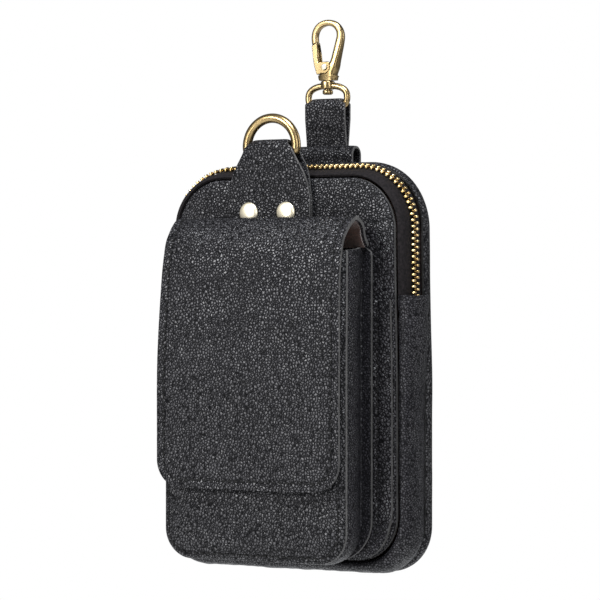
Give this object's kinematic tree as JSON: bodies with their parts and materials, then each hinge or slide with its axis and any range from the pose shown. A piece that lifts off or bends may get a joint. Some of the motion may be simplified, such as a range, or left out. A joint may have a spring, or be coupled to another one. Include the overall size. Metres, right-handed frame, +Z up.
{
  "type": "leather waist bag",
  "caption": "Upright leather belt pouch with flap pocket, curved zipped compartment, D-ring tab, belt loop and swivel snap hook.",
  "frame": {"origin": "inside top of the snap hook, where the bag hangs", "axes": "+Z up along the hanging bag, +Y towards the wearer's side with the belt loop, -Y the flap, X across"},
  "size_m": [0.1262, 0.0741, 0.2396],
  "materials": {
    "grain_leather": "black pebble-grain cowhide, semi-gloss",
    "smooth_leather": "black fine-grain cowhide, softer and smoother",
    "zip_tape": "very dark woven zip tape",
    "suede_lining": "dark brown suede",
    "zip_brass": "bright gold brass teeth",
    "antique_brass": "antique brass, dark in the recesses",
    "pale_brass": "polished pale brass"
  },
  "bodies": {
    "hook": {"snap_hook": "antique_brass", "gate_pin": "pale_brass"},
    "gate": {"hook_gate": "antique_brass"},
    "bag": {"swivel_eye": "antique_brass", "hook_strap": "grain_leather", "belt_loop": "grain_leather", "front_panel": "grain_leather", "slip_pocket": "grain_leather", "lower_trim": "smooth_leather", "front_gusset": "smooth_leather", "zip_tape_front": "zip_tape", "zip_tape_back": "zip_tape", "zip_teeth": "zip_brass", "zip_slider": "zip_brass", "back_gusset": "grain_leather", "back_panel": "grain_leather", "pouch_front": "grain_leather", "pouch_gusset": "smooth_leather", "flap": "grain_leather", "flap_lining": "suede_lining", "ring_tab": "grain_leather", "d_ring": "antique_brass", "rivet_left": "pale_brass", "rivet_right": "pale_brass"}
  },
  "joints": [
    {"name": "swivel", "type": "hinge", "parent": "bag", "child": "hook", "pos_m": [0, 0, -0.026], "axis": [0, 0, 1], "continuous": true},
    {"name": "gate_hinge", "type": "hinge", "parent": "hook", "child": "gate", "pos_m": [-0.0004, 0, -0.0182], "axis": [0, 1, 0], "range_deg": [0, 25], "stiffness_Nm_per_rad": 0.002, "springref_deg": -11.46}
  ]
}
